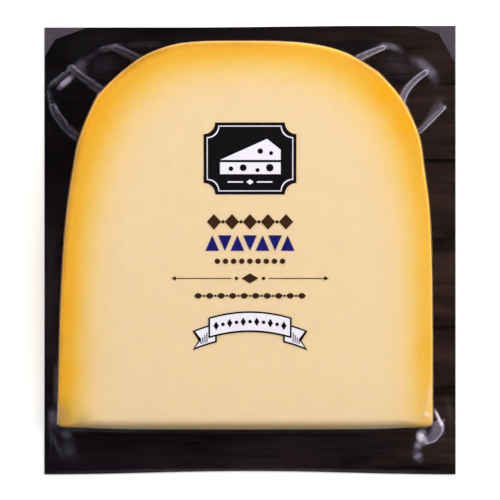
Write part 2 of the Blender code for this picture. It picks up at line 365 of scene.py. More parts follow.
def add(tree, kind, inputs=None, **settings):
    """Adds a shader node, with its settings and the values or links of its inputs."""
    node = tree.nodes.new(kind)
    for name, value in settings.items():
        setattr(node, name, value)
    for name, value in (inputs or {}).items():
        if isinstance(value, bpy.types.NodeSocket):
            tree.links.new(value, node.inputs[name])
        else:
            node.inputs[name].default_value = value
    return node


def maths(tree, operation, *values):
    """A step of arithmetic on values or links."""
    return add(tree, "ShaderNodeMath", dict(enumerate(values)), operation=operation).outputs[0]


def blend(tree, share, first, second, blend_type="MIX"):
    """A colour that goes from the first to the second as the share goes from 0 to 1."""
    inputs = {0: share, 6: first, 7: second}
    return add(tree, "ShaderNodeMix", inputs, data_type="RGBA", blend_type=blend_type).outputs[2]


def read(tree, name):
    """One of the numbers that the piece's vertices hold."""
    return add(tree, "ShaderNodeAttribute", attribute_name=name).outputs["Fac"]


def surface(tree, inputs):
    """The material's shader with its inputs, joined to the material's output."""
    shader = add(tree, "ShaderNodeBsdfPrincipled", inputs)
    add(tree, "ShaderNodeOutputMaterial", {"Surface": shader.outputs[0]})


def ramp(tree, factor, stops):
    """A colour ramp with the given stops, each a place from 0 to 1 and a colour."""
    node = add(tree, "ShaderNodeValToRGB", {"Fac": factor})
    elements = node.color_ramp.elements
    while len(elements) < len(stops):
        elements.new(0.5)
    for element, (place, colour) in zip(elements, stops):
        element.position = place
        element.color = colour
    return node.outputs["Color"]


def build_mottle():
    """A shader group that every surface here uses: soft uneven patches with a fine grain on top."""
    group = bpy.data.node_groups.new("mottle", "ShaderNodeTree")
    socket = group.interface.new_socket
    socket("Patch Size", in_out="INPUT", socket_type="NodeSocketFloat")
    socket("Grain Size", in_out="INPUT", socket_type="NodeSocketFloat")
    socket("Grain Share", in_out="INPUT", socket_type="NodeSocketFloat")
    socket("Stretch", in_out="INPUT", socket_type="NodeSocketVector")
    socket("Mottle", in_out="OUTPUT", socket_type="NodeSocketFloat")
    given = add(group, "NodeGroupInput").outputs
    place = add(group, "ShaderNodeTexCoord").outputs["Object"]
    inputs = {0: place, 1: given["Stretch"]}
    stretched = add(group, "ShaderNodeVectorMath", inputs, operation="MULTIPLY")
    layers = []
    for size, rounds in (("Patch Size", 3.0), ("Grain Size", 2.0)):
        scale = maths(group, "DIVIDE", 1.0, given[size])
        inputs = {"Vector": stretched.outputs[0], "Scale": scale, "Detail": rounds}
        layers.append(add(group, "ShaderNodeTexNoise", inputs).outputs["Fac"])
    mixed = add(group, "ShaderNodeMix", {0: given["Grain Share"], 2: layers[0], 3: layers[1]})
    add(group, "NodeGroupOutput", {"Mottle": mixed.outputs[0]})
    return group


mottle_group = build_mottle()


def mottle(tree, patch, grain, share, stretch=(1, 1, 1)):
    """The mottle group, placed in a material with its own sizes in metres."""
    inputs = {"Patch Size": patch, "Grain Size": grain, "Grain Share": share, "Stretch": stretch}
    return add(tree, "ShaderNodeGroup", inputs, node_tree=mottle_group).outputs["Mottle"]


def remap(tree, value, low, high, to_low, to_high):
    """A value taken from one range to another, and kept within it."""
    inputs = {
        "Value": value, "From Min": low, "From Max": high, "To Min": to_low, "To Max": to_high,
    }
    return add(tree, "ShaderNodeMapRange", inputs).outputs["Result"]


MOTTLE_RANGE = (0.3, 0.7)   # where nearly all of the mottle's values lie
RIND_RANGE = 20.0           # millimetres below the rind that the colour ramp covers
RIND_WANDER = 0.45          # how far its bands stray, in millimetres
# The first stop, the darkest, is painted shade along the very edge of the face, toning down the light
# that its rounded rim catches
PASTE_COLOURS = [
    (0.0, (186, 131, 24)), (0.7, (223, 163, 47)), (1.4, (236, 174, 53)), (2.6, (236, 177, 55)),
    (4.0, (239, 185, 72)), (5.6, (239, 193, 96)), (7.4, (240, 200, 121)), (9.0, (240, 204, 137)),
    (11.0, (240, 207, 151)), (14.0, (239, 209, 161)), (18.0, (239, 210, 167)),
]
RIPE_COLOUR = linear(241, 171, 24)
RIPE_DEPTHS = (2.0, 9.0)    # millimetres below the rind between which the ripe tone fades
# The colour by which the painted shade multiplies the paste
SHADE_COLOUR = (0.48, 0.44, 0.37, 1.0)

cheese_material, tree = new_material("cheese_paste")
patches = mottle(tree, 0.012, 0.0012, 0.35)
wander = remap(tree, patches, *MOTTLE_RANGE, -RIND_WANDER, RIND_WANDER)
depth_here = maths(tree, "ADD", read(tree, "rind"), wander)
stops = [(place / RIND_RANGE, linear(*colour)) for place, colour in PASTE_COLOURS]
paste = ramp(tree, maths(tree, "DIVIDE", depth_here, RIND_RANGE), stops)
near_rind = remap(tree, depth_here, *RIPE_DEPTHS, 1.0, 0.0)
ripe_here = maths(tree, "MULTIPLY", read(tree, "ripe"), near_rind)
paste = blend(tree, ripe_here, paste, RIPE_COLOUR)
# Painted shade along the nose's rounded edge and at its corners
paste = blend(tree, read(tree, "painted_shade"), paste, SHADE_COLOUR, "MULTIPLY")
fine = mottle(tree, 0.0035, 0.0004, 0.5)
inputs = {0: paste, "Scale": remap(tree, fine, *MOTTLE_RANGE, 0.965, 1.03)}
paste = add(tree, "ShaderNodeVectorMath", inputs, operation="SCALE").outputs[0]
relief = add(tree, "ShaderNodeBump", {"Height": fine, "Strength": 0.25, "Distance": 0.00025})
surface(tree, {
    "Base Color": paste,
    "Roughness": remap(tree, patches, *MOTTLE_RANGE, 0.42, 0.58),
    "Specular IOR Level": 0.12,
    "Subsurface Weight": 0.22,
    "Subsurface Radius": (1.0, 0.55, 0.22),
    "Subsurface Scale": 0.0022,
    "Normal": relief.outputs["Normal"],
})
cheese.data.materials.append(cheese_material)

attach(cheese, "root")
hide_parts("cheese")


# Base web: an opaque sheet of nearly black plastic, printed with dark planks, whose joint shows
# at the right. It is cut square, and its lower edge is drawn in a little by the vacuum. At the
# two upper corners, where the pack is opened and the film stands off it, the sheet is painted paler:
# painted sheen of the lifted film.

WEB_CELLS = 40
NOSE_EDGE_DRAW = 0.0010
TOP_EDGE_SLANT = 0.0005
TOP_SLANT_START_X = 0.040
TOP_SLANT_RUN = 0.060
PLANK_JOINT_Y = 0.0268
PLANK_JOINT_WOBBLE = 0.0003
PLANK_JOINT_EDGES = (0.0003, 0.0009)
GRAIN_RANGE = (0.55, 0.92)  # where nearly all of the grain's values lie
WOOD_DARK = linear(4, 2, 3)
WOOD_PALE_LEFT = linear(32, 24, 32)
WOOD_PALE_RIGHT = linear(56, 41, 37)
JOINT_COLOUR = linear(3, 1, 2)
# The pale corners' colours: painted sheen of the film that stands off the web there
TAB_DARK = linear(60, 54, 65)
TAB_PALE = linear(80, 71, 79)
# The two straight cuts behind which each pale corner lies
TAB_CUTS = [
    ((-0.0498, 0.0668), (-0.0584, 0.0637)), ((-0.0584, 0.0637), (-0.0615, 0.0586)),
    ((0.0486, 0.0672), (0.0566, 0.0649)), ((0.0566, 0.0649), (0.0614, 0.0563)),
]
pack_width = web_high.x - web_low.x
pack_length = web_high.y - web_low.y


def pack_bottom(xs):
    """The pack's edge below the nose, drawn in a little along its middle."""
    return -pack_length / 2 + NOSE_EDGE_DRAW * np.cos(math.pi * xs / pack_width) ** 2


def pack_top(xs):
    """The pack's edge beyond the arch, a little lower at the left."""
    return pack_length / 2 - TOP_EDGE_SLANT * smooth((TOP_SLANT_START_X - xs) / TOP_SLANT_RUN)


def flat_sheet(name, size_x, size_y, cells):
    """A flat grid of the given size about the origin."""
    select_none()
    bpy.ops.mesh.primitive_grid_add(x_subdivisions=cells, y_subdivisions=cells, size=1)
    piece = bpy.context.object
    piece.name = piece.data.name = name
    bpy.ops.transform.resize(value=(size_x, size_y, 1))
    bpy.ops.object.transform_apply(location=True, rotation=True, scale=True)
    return piece


def thicken(piece, thickness, offset):
    """Gives a sheet its thickness, on the side that the offset says, and applies it."""
    wall = piece.modifiers.new("wall", "SOLIDIFY")
    wall.thickness = thickness
    wall.offset = offset
    select_none()
    piece.select_set(True)
    bpy.context.view_layer.objects.active = piece
    bpy.ops.object.modifier_apply(modifier="wall")


web = flat_sheet("plank_web", pack_width, pack_length, WEB_CELLS)
bpy.ops.object.mode_set(mode="EDIT")
for (start_x, start_y), (end_x, end_y) in TAB_CUTS:
    across = Vector((start_y - end_y, end_x - start_x, 0)).normalized()
    bpy.ops.mesh.select_all(action="SELECT")
    bpy.ops.mesh.bisect(plane_co=(start_x, start_y, 0), plane_no=across, threshold=1e-6)
bpy.ops.object.mode_set(mode="OBJECT")


def beyond_tab_cuts(x, y):
    """Whether a point lies in one of the two pale corners."""
    side = -1 if x < 0 else 1
    for (start_x, start_y), (end_x, end_y) in TAB_CUTS:
        if start_x * side > 0:
            turn = (end_x - start_x) * (y - start_y) - (end_y - start_y) * (x - start_x)
            if turn * side > 0:
                return True
    return False


for face in web.data.polygons:
    if beyond_tab_cuts(face.center.x, face.center.y):
        face.material_index = 1
points = positions(web)
low_share = smooth(-points[:, 1] / (pack_length / 2))
points[:, 1] += low_share * (pack_bottom(points[:, 0]) + pack_length / 2)
high_share = smooth(points[:, 1] / (pack_length / 2))
points[:, 1] += high_share * (pack_top(points[:, 0]) - pack_length / 2)
points[:, 2] = web_high.z
set_positions(web, points)


def wood_print(tree):
    """Dark planks with the grain across the pack, browner to the right and paler to the front."""
    grain = mottle(tree, 0.020, 0.0045, 0.4, stretch=(0.20, 1.5, 1))
    fibres = mottle(tree, 0.0022, 0.0008, 0.5, stretch=(0.10, 1.3, 1))
    place = add(tree, "ShaderNodeSeparateXYZ", {0: add(tree, "ShaderNodeTexCoord").outputs["Object"]})
    across, along = place.outputs["X"], place.outputs["Y"]
    both = maths(tree, "MULTIPLY_ADD", fibres, 0.45, grain)
    share = remap(tree, both, *GRAIN_RANGE, 0.05, 1.0)
    share = maths(tree, "MULTIPLY", share, remap(tree, across, -0.060, 0.060, 0.65, 1.0))
    arch_tone = remap(tree, across, 0.005, 0.060, 0.20, 0.80)
    share = maths(tree, "MULTIPLY", share, remap(tree, along, 0.060, -0.010, arch_tone, 1.0))
    rightwards = remap(tree, across, -0.060, 0.060, 0.0, 1.0)
    pale = blend(tree, rightwards, WOOD_PALE_LEFT, WOOD_PALE_RIGHT)
    wood = blend(tree, share, WOOD_DARK, pale)
    wobble = remap(tree, grain, *MOTTLE_RANGE, -PLANK_JOINT_WOBBLE, PLANK_JOINT_WOBBLE)
    from_joint = maths(tree, "SUBTRACT", maths(tree, "ADD", along, wobble), PLANK_JOINT_Y)
    off_joint = remap(tree, maths(tree, "ABSOLUTE", from_joint), *PLANK_JOINT_EDGES, 0.0, 1.0)
    return blend(tree, off_joint, JOINT_COLOUR, wood), both


web_material, tree = new_material("plank_print")
wood, grain = wood_print(tree)
relief = add(tree, "ShaderNodeBump", {"Height": grain, "Strength": 0.1, "Distance": 0.0001})
surface(tree, {
    "Base Color": wood,
    "Roughness": remap(tree, grain, *GRAIN_RANGE, 0.20, 0.28),
    "Specular IOR Level": 0.2,
    "Normal": relief.outputs["Normal"],
})
web.data.materials.append(web_material)

# Painted sheen of the lifted film at the two upper corners
tab_material, tree = new_material("painted_corner_sheen")
patches = mottle(tree, 0.004, 0.0006, 0.5)
colour = ramp(tree, patches, [(0.3, TAB_DARK), (0.7, TAB_PALE)])
surface(tree, {"Base Color": colour, "Roughness": 0.22})
web.data.materials.append(tab_material)
thicken(web, web_high.z - web_low.z, -1.0)

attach(web, "root")
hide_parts("base_web")


# Print: flat inks on the inner side of the film, over the cheese. A dark plaque with a plain
# wedge, rows of simple shapes, a thin rule with arrowheads, and a ribbon of diamonds and dots.
# Each ink is drawn flat, joined, given its thickness and then tilted onto the wedge's face.

INK_LIFT = 0.00012          # the ink's height over the cheese
INK_LAYER = 0.00003         # how far each ink lies over the one below it
INK_THICKNESS = 0.00002
inks = {"ink_dark": [], "ink_white": [], "ink_brown": [], "ink_blue": []}


def ink_shape(ink, outline_points, layer=0):
    """A flat shape of one ink, from its outline, drawn in the plane of the wedge's face."""
    select_none()
    bpy.ops.mesh.primitive_circle_add(vertices=len(outline_points), fill_type="NGON")
    shape = bpy.context.object
    for vertex, (x, y) in zip(shape.data.vertices, outline_points):
        vertex.co = (x, y, layer * INK_LAYER)
    inks[ink].append(shape)


def ink_line(ink, start, end, width, layer=0):
    """A straight stroke."""
    along = (Vector(end) - Vector(start)).normalized() * width / 2
    side = Vector((-along.y, along.x))
    corners = [Vector(start) - side, Vector(end) - side, Vector(end) + side, Vector(start) + side]
    ink_shape(ink, [tuple(corner) for corner in corners], layer)


def ring_points(centre_x, centre_y, radius_x, radius_y, count):
    """Points round an ellipse, or round a diamond where there are four."""
    turns = [2 * math.pi * step / count for step in range(count)]
    return [(centre_x + radius_x * math.cos(t), centre_y + radius_y * math.sin(t)) for t in turns]


# The plaque: its ground, its white line and its field, each drawn in a little more
PLAQUE_SIZE = (0.0136, 0.0106)
PLAQUE_NOTCH = 0.0034
PLAQUE_Y = 0.0281
PLAQUE_FIELDS = [("ink_dark", 0.0), ("ink_white", 0.0009), ("ink_dark", 0.0012)]
ICON_TOP = [(-0.0088, -0.0004), (0.0050, 0.0058), (0.0090, 0.0026), (0.0090, -0.0004)]
ICON_SIDE = [(-0.0088, -0.0011), (0.0090, -0.0011), (0.0090, -0.0046), (-0.0088, -0.0046)]
ICON_HOLES = [
    (-0.0056, -0.0030, 0.0007), (-0.0020, -0.0027, 0.0010), (0.0022, -0.0034, 0.0006),
    (0.0058, -0.0027, 0.0011), (0.0030, 0.0022, 0.0008), (0.0062, 0.0016, 0.0006),
]
DASH_Y = PLAQUE_Y - 0.0069
DASH_ENDS = (0.0020, 0.0066)
DASH_WIDTH = 0.0004
DASH_DIAMOND_SIZE = (0.0011, 0.0008)


def plaque_points(inset, steps=8):
    """A rectangle whose corners are cut back by inward quarter rounds, drawn in by the inset."""
    half_width, half_height = PLAQUE_SIZE[0] - inset, PLAQUE_SIZE[1] - inset
    corners = ((half_width, half_height, 180), (-half_width, half_height, 270),
               (-half_width, -half_height, 0), (half_width, -half_height, 90))
    points = []
    for corner_x, corner_y, start in corners:
        for step in range(steps + 1):
            turn = math.radians(start + 90 - step * 90 / steps)
            x, y = corner_x + PLAQUE_NOTCH * math.cos(turn), corner_y + PLAQUE_NOTCH * math.sin(turn)
            points.append((x, y + PLAQUE_Y))
    return points[::-1]


for layer, (ink, inset) in enumerate(PLAQUE_FIELDS):
    ink_shape(ink, plaque_points(inset), layer)
for corners in (ICON_TOP, ICON_SIDE):
    ink_shape("ink_white", [(x, y + PLAQUE_Y) for x, y in corners[::-1]], 3)
for hole_x, hole_y, hole_size in ICON_HOLES:
    ink_shape("ink_dark", ring_points(hole_x, hole_y + PLAQUE_Y, hole_size, hole_size, 24), 4)
for side in (-1, 1):
    start, end = [(side * dash_x, DASH_Y) for dash_x in DASH_ENDS]
    ink_line("ink_white", start, end, DASH_WIDTH, 3)
ink_shape("ink_white", ring_points(0.0, DASH_Y, *DASH_DIAMOND_SIZE, 4), 3)

# The rows of shapes, with beads between the diamonds and between the leaves, and the rule
DIAMOND_ROW_Y = 0.0094
DIAMOND_STEP = 0.0053
DIAMOND_SIZE = (0.0021, 0.0023)
BEAD_SIZE = (0.0005, 0.0005)
TRIANGLE_ROW_Y = 0.0031
TRIANGLE_STEP = 0.0037
TRIANGLE_SIZE = (0.0020, 0.0023)
DOT_ROW_Y = -0.0023
DOT_STEP = 0.0024
DOT_SIZE = (0.0008, 0.0008)
RULE_Y = -0.0074
RULE_ENDS = (0.0055, 0.0226)
RULE_WIDTH = 0.00025
RULE_BEAD_X = 0.0040
RULE_DIAMOND_SIZE = (0.0025, 0.0015)
ARROW_TIP_X = 0.0232
ARROW_BASE_X = 0.0219
ARROW_HALF_WIDTH = 0.0007
LEAF_ROW_Y = -0.0126
LEAF_STEP = 0.0034
LEAF_SIZE = (0.0024, 0.0017)
LEAF_BEAD_SIZE = (0.00035, 0.00035)


def spread(count, step):
    """Places across the print, evenly spaced about its middle."""
    return [(place - (count - 1) / 2) * step for place in range(count)]


def ink_row(count, step, y, size, points_each):
    """A row of like brown ellipses or diamonds."""
    for x in spread(count, step):
        ink_shape("ink_brown", ring_points(x, y, *size, points_each))


def leaf_points(centre_x, centre_y, length, height, count=12):
    """Points round a leaf that lies along X, pointed at both ends."""
    lower = [(step / count * 2 - 1) for step in range(count)]
    points = [(x, -(1 - x * x)) for x in lower] + [(-x, 1 - x * x) for x in lower]
    return [(centre_x + x * length / 2, centre_y + y * height / 2) for x, y in points]


ink_row(5, DIAMOND_STEP, DIAMOND_ROW_Y, DIAMOND_SIZE, 4)
ink_row(4, DIAMOND_STEP, DIAMOND_ROW_Y, BEAD_SIZE, 16)
half_base, half_height = TRIANGLE_SIZE
for place, x in enumerate(spread(7, TRIANGLE_STEP)):
    up = 1 if place % 2 == 0 else -1
    base, tip = TRIANGLE_ROW_Y - up * half_height, TRIANGLE_ROW_Y + up * half_height
    corners = [(x - half_base, base), (x + half_base, base), (x, tip)]
    ink_shape("ink_blue", corners if up > 0 else corners[::-1])
ink_row(9, DOT_STEP, DOT_ROW_Y, DOT_SIZE, 20)
for side in (-1, 1):
    start, end = [(side * rule_x, RULE_Y) for rule_x in RULE_ENDS]
    ink_line("ink_brown", start, end, RULE_WIDTH)
    tip, base_x = (side * ARROW_TIP_X, RULE_Y), side * ARROW_BASE_X
    arrow = [tip, (base_x, RULE_Y + ARROW_HALF_WIDTH), (base_x, RULE_Y - ARROW_HALF_WIDTH)]
    ink_shape("ink_brown", arrow if side < 0 else arrow[::-1])
    ink_shape("ink_brown", ring_points(side * RULE_BEAD_X, RULE_Y, *BEAD_SIZE, 16))
ink_shape("ink_brown", ring_points(0.0, RULE_Y, *RULE_DIAMOND_SIZE, 4))
for x in spread(10, LEAF_STEP):
    ink_shape("ink_brown", leaf_points(x, LEAF_ROW_Y, *LEAF_SIZE))
ink_row(9, LEAF_STEP, LEAF_ROW_Y, LEAF_BEAD_SIZE, 12)

# The ribbon: two tails behind, shaded where they turn under, and the front with its pattern
RIBBON_Y = -0.0258
RIBBON_BOW = 0.0032         # how far its middle is bowed up
RIBBON_REACH = 0.0160       # the half width over which it is
RIBBON_LINE = 0.00052
TAIL_ENDS = (0.0170, 0.0098)
TAIL_LOW_Y = RIBBON_Y - 0.0027
TAIL_HEIGHT = 0.0058
TAIL_NOTCH = 0.0018
TAIL_END_LINE = RIBBON_LINE * 1.6
FRONT_END_X = 0.0123
FRONT_LOW_Y = RIBBON_Y - 0.0008
FRONT_HEIGHT = 0.0062
SHADE_X = 0.0127
SHADE_STEP = 0.0006
SHADE_LOW_Y = RIBBON_Y - 0.0006
SHADE_FALL = 0.0002         # how much lower each stroke of shade starts
SHADE_HEIGHT = 0.0028
SHADE_SHORTENING = 0.0005   # and how much shorter it is
SHADE_WIDTH = 0.00028
SHADE_LEAN = 0.0001
PATTERN_STEP = 0.0020
PATTERN_Y = RIBBON_Y + 0.0023
PATTERN_DIAMOND = (0.0008, 0.0013)
PATTERN_DOT = (0.00055, 0.00055)


def ribbon_bow(x):
    """How far the ribbon is bowed up at a place across it."""
    return RIBBON_BOW * (1 - (x / RIBBON_REACH) ** 2)


def ribbon_strip(ink, from_x, to_x, base_y, height, layer, notch=0.0, steps=24):
    """A strip that bows upwards along X. A notch may be cut into the end that it starts from."""
    lower, upper = [], []
    for step in range(steps + 1):
        x = from_x + (to_x - from_x) * step / steps
        lower.append((x, base_y + ribbon_bow(x)))
        upper.append((x, base_y + ribbon_bow(x) + height))
    points = lower + upper[::-1]
    if notch:
        x, y = lower[0]
        points.append((x - notch * (1 if to_x < from_x else -1), y + height / 2))
    ink_shape(ink, points[::-1] if to_x < from_x else points, layer)


inner_height = TAIL_HEIGHT - 2 * RIBBON_LINE
for side in (-1, 1):
    outer_x, inner_x = [side * tail_x for tail_x in TAIL_ENDS]
    ribbon_strip("ink_dark", outer_x, inner_x, TAIL_LOW_Y, TAIL_HEIGHT, 0, TAIL_NOTCH)
    outer_x, inner_x = side * (TAIL_ENDS[0] - TAIL_END_LINE), side * (TAIL_ENDS[1] + RIBBON_LINE)
    ribbon_strip("ink_white", outer_x, inner_x, TAIL_LOW_Y + RIBBON_LINE, inner_height, 1, TAIL_NOTCH)
    for step in range(4):
        shade_x = side * (SHADE_X + step * SHADE_STEP)
        low = SHADE_LOW_Y - step * SHADE_FALL
        high = low + SHADE_HEIGHT - step * SHADE_SHORTENING
        ink_line("ink_dark", (shade_x, low), (shade_x + side * SHADE_LEAN, high), SHADE_WIDTH, 2)
ribbon_strip("ink_dark", -FRONT_END_X, FRONT_END_X, FRONT_LOW_Y, FRONT_HEIGHT, 3)
inner_x, inner_height = FRONT_END_X - RIBBON_LINE, FRONT_HEIGHT - 2 * RIBBON_LINE
ribbon_strip("ink_white", -inner_x, inner_x, FRONT_LOW_Y + RIBBON_LINE, inner_height, 4)
for place, x in enumerate(spread(11, PATTERN_STEP)):
    size, points_each = (PATTERN_DOT, 16) if place % 2 else (PATTERN_DIAMOND, 4)
    ink_shape("ink_dark", ring_points(x, PATTERN_Y + ribbon_bow(x), *size, points_each), 5)

# The inks' colours as seen, and the printed layers made of the shapes drawn above
INK_COLOURS = {
    "ink_dark": (14, 10, 15), "ink_white": (234, 229, 240),
    "ink_brown": (58, 34, 18), "ink_blue": (24, 24, 108),
}
for ink, shapes in inks.items():
    select_none()
    for shape in shapes:
        shape.select_set(True)
    bpy.context.view_layer.objects.active = shapes[0]
    bpy.ops.object.join()
    layer = bpy.context.object
    layer.name = layer.data.name = ink
    thicken(layer, INK_THICKNESS, 1.0)
    bpy.ops.object.mode_set(mode="EDIT")
    bpy.ops.mesh.select_all(action="SELECT")
    bpy.ops.transform.translate(value=(0, 0, AXIS_Z + INK_LIFT))
    bpy.ops.transform.rotate(
        value=-WEDGE_ANGLE, orient_axis="X", orient_type="GLOBAL",
        center_override=(0, AXIS_Y, AXIS_Z),
    )
    bpy.ops.object.mode_set(mode="OBJECT")
    ink_material, tree = new_material(ink)
    speckle = mottle(tree, 0.002, 0.0002, 0.6)
    deep = linear(*INK_COLOURS[ink])
    worn = [min(1.0, value * 1.12 + 0.002) for value in deep[:3]] + [1.0]
    colour = ramp(tree, speckle, [(0.35, deep), (0.75, worn)])
    surface(tree, {"Base Color": colour, "Roughness": 0.5, "Specular IOR Level": 0.05})
    layer.data.materials.append(ink_material)
    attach(layer, "root")


# Film: clear glossy plastic, warmed and drawn down by vacuum over the cheese and sealed to the
# base web. Round the cheese's corners, where there is too much of it, it is pinched into folds.
# It is a sheet wrapped round like the cheese, from the middle of the face out to the pack's edge.

FILM_COLUMNS = 620
FILM_FACE_ROWS = 19
FILM_ROUNDING_ROWS = 6
WALL_ROWS = 6
FOOT_ROWS = 6
APRON_ROWS = 41             # from the wall's foot to the pack's edge
FILM_CORNERS = [(0.0550, -0.0540), (-0.0560, -0.0540)]
FILM_DETAIL = 3.5           # how much closer its columns lie there and at the folds
FILM_GAP = 0.00028
WEB_GAP = 0.00010
FILM_THICKNESS = 0.00010
FILM_SWELL = 0.00004        # how uneven the film is
FILM_SWELL_SCALES = (60, 190)
LOW_TOP = 0.0060            # the film lower than this lies on the web or near it
LOW_RUN = 0.0020            # and this much lower, wholly so
FOOT_CURVE = 0.0006
NOSE_FOOT_CURVE = 0.0022
EDGE_FADE = 0.0014
CORNER_LIFT = 0.0011
CORNER_LIFT_REACH = 0.0130
FOLD_STEPS = 40             # places along each line at which its distance is measured
FAR = 3.0                   # half widths from a fold's crest, past which nothing is read
FOLD_ROOT = 1.15            # how much wider a fold is where it starts
FOLD_TAPER = 0.40           # and how much of its width it has lost at its tip
FOLD_TOP = 1.25             # half widths from its crest at which its height has gone
FOLD_FLANK = 0.5            # and the half widths over which it goes
FOLD_DIP = 0.15             # how far its top is sunk between its two edges
FOLD_DIP_REACH = 0.6
MILK_FADE = 0.3             # the share of its milkiness that it has lost at its tip
# The next line sets the painted highlights along a fold's two edges
EDGE_SHINE = (0.60, 0.55)   # how bright its edges are where it starts, and the gain to its tip

# Each crisp fold: its crest from the cheese outwards, its width, its height at both ends, how
# milky the doubled film is, partly its real haze and partly painted sheen, and how bright its left and
# right edges are, as painted highlights
Fold = namedtuple("Fold", "start middle tip width high low milk left right")
FOLDS = [Fold(*values) for values in (
    ((-0.0441, 0.0473), (-0.0484, 0.0502), (-0.0535, 0.0543), 0.0020, 0.0036, 0.0010, 0.006, 0.05, 0.085),
    ((-0.0332, 0.0569), (-0.0374, 0.0594), (-0.0410, 0.0606), 0.0020, 0.0030, 0.0008, 0.006, 0.045, 0.06),
    ((-0.0517, 0.0337), (-0.0568, 0.0373), (-0.0592, 0.0427), 0.0020, 0.0034, 0.0007, 0.006, 0.045, 0.04),
    ((0.0312, 0.0566), (0.0360, 0.0593), (0.0398, 0.0606), 0.0018, 0.0030, 0.0010, 0.055, 0.16, 0.30),
    ((0.0453, 0.0443), (0.0464, 0.0491), (0.0526, 0.0532), 0.0019, 0.0036, 0.0012, 0.06, 0.20, 0.28),
    ((0.0505, 0.0355), (0.0544, 0.0391), (0.0580, 0.0427), 0.0014, 0.0034, 0.0008, 0.04, 0.05, 0.42),
    ((0.0563, -0.0529), (0.0560, -0.0562), (0.0530, -0.0569), 0.0033, 0.0014, 0.0008, 0.115, 0.22, 0.0),
)]

# Each soft wrinkle: its line, its width, its height, and the painted sheen along it, which at its
# strongest is a painted highlight; some have no height and are painted only
Wrinkle = namedtuple("Wrinkle", "start middle tip width height milk")
WRINKLES = [Wrinkle(*values) for values in (
    ((-0.0535, 0.0520), (-0.0550, 0.0505), (-0.0571, 0.0487), 0.0020, 0.0003, 0.26),
    ((-0.0532, 0.0543), (-0.0568, 0.0517), (-0.0604, 0.0487), 0.0015, 0.0004, 0.035),
    ((-0.0529, 0.0537), (-0.0508, 0.0552), (-0.0493, 0.0570), 0.0036, 0.0001, 0.042),
    ((-0.0493, 0.0567), (-0.0475, 0.0582), (-0.0457, 0.0594), 0.0015, 0.0002, 0.012),
    ((-0.0514, 0.0552), (-0.0504, 0.0546), (-0.0497, 0.0532), 0.0028, 0.0, 0.034),
    ((-0.0457, 0.0594), (-0.0425, 0.0609), (-0.0377, 0.0612), 0.0022, 0.0003, 0.022),
    ((-0.0377, 0.0612), (-0.0323, 0.0618), (-0.0263, 0.0618), 0.0020, 0.0001, 0.008),
    ((-0.0604, 0.0484), (-0.0601, 0.0460), (-0.0592, 0.0427), 0.0015, 0.0002, 0.012),
    ((-0.0593, 0.0448), (-0.0590, 0.0424), (-0.0577, 0.0406), 0.0026, 0.0002, 0.015),
    ((0.0385, 0.0608), (0.0420, 0.0619), (0.0452, 0.0597), 0.0024, 0.0001, 0.065),
    ((0.0491, 0.0568), (0.0535, 0.0556), (0.0556, 0.0508), 0.0034, 0.0001, 0.080),
    ((0.0520, 0.0376), (0.0559, 0.0409), (0.0568, 0.0451), 0.0034, 0.0003, 0.03),
    ((0.0554, -0.0480), (0.0564, -0.0504), (0.0579, -0.0532), 0.0011, 0.0003, 0.62),
    ((0.0517, -0.0548), (0.0505, -0.0561), (0.0523, -0.0574), 0.0030, 0.0002, 1.0),
    ((0.0510, -0.0574), (0.0503, -0.0586), (0.0502, -0.0596), 0.0028, 0.0001, 0.18),
    ((0.0499, -0.0611), (0.0503, -0.0618), (0.0508, -0.0626), 0.0032, 0.0001, 0.13),
    ((-0.0591, -0.0478), (-0.0593, -0.0503), (-0.0588, -0.0527), 0.0034, 0.0, 0.085),
    ((-0.0565, -0.0541), (-0.0550, -0.0549), (-0.0541, -0.0565), 0.0034, 0.0, 0.050),
    ((-0.0607, -0.0520), (-0.0592, -0.0569), (-0.0556, -0.0627), 0.0019, 0.0002, 0.02),
    ((-0.0552, -0.0570), (-0.0545, -0.0596), (-0.0533, -0.0620), 0.0056, 0.0, 0.016),
    ((-0.0582, -0.0330), (-0.0582, -0.0400), (-0.0583, -0.0480), 0.0020, 0.0, 0.035),
    ((-0.0562, -0.0536), (-0.0526, -0.0541), (-0.0475, -0.0538), 0.0015, 0.0002, 0.036),
    ((-0.0600, 0.0120), (-0.0604, -0.0150), (-0.0600, -0.0440), 0.0070, 0.0, 0.008),
    ((-0.0560, -0.0532), (-0.0460, -0.0536), (-0.0300, -0.0540), 0.0016, 0.0, 0.030),
    ((-0.0612, -0.0669), (0.0, -0.0649), (0.0612, -0.0669), 0.0010, 0.0, 0.020),
    ((0.0588, -0.0440), (0.0600, -0.0490), (0.0602, -0.0525), 0.0026, 0.0001, 0.010),
    ((-0.0575, 0.0585), (-0.0500, 0.0625), (-0.0400, 0.0640), 0.0080, 0.0, 0.002),
    ((-0.0480, 0.0540), (-0.0440, 0.0560), (-0.0395, 0.0562), 0.0060, 0.0, 0.006),
    ((0.0400, 0.0568), (0.0445, 0.0556), (0.0485, 0.0525), 0.0060, 0.0, 0.007),
)]
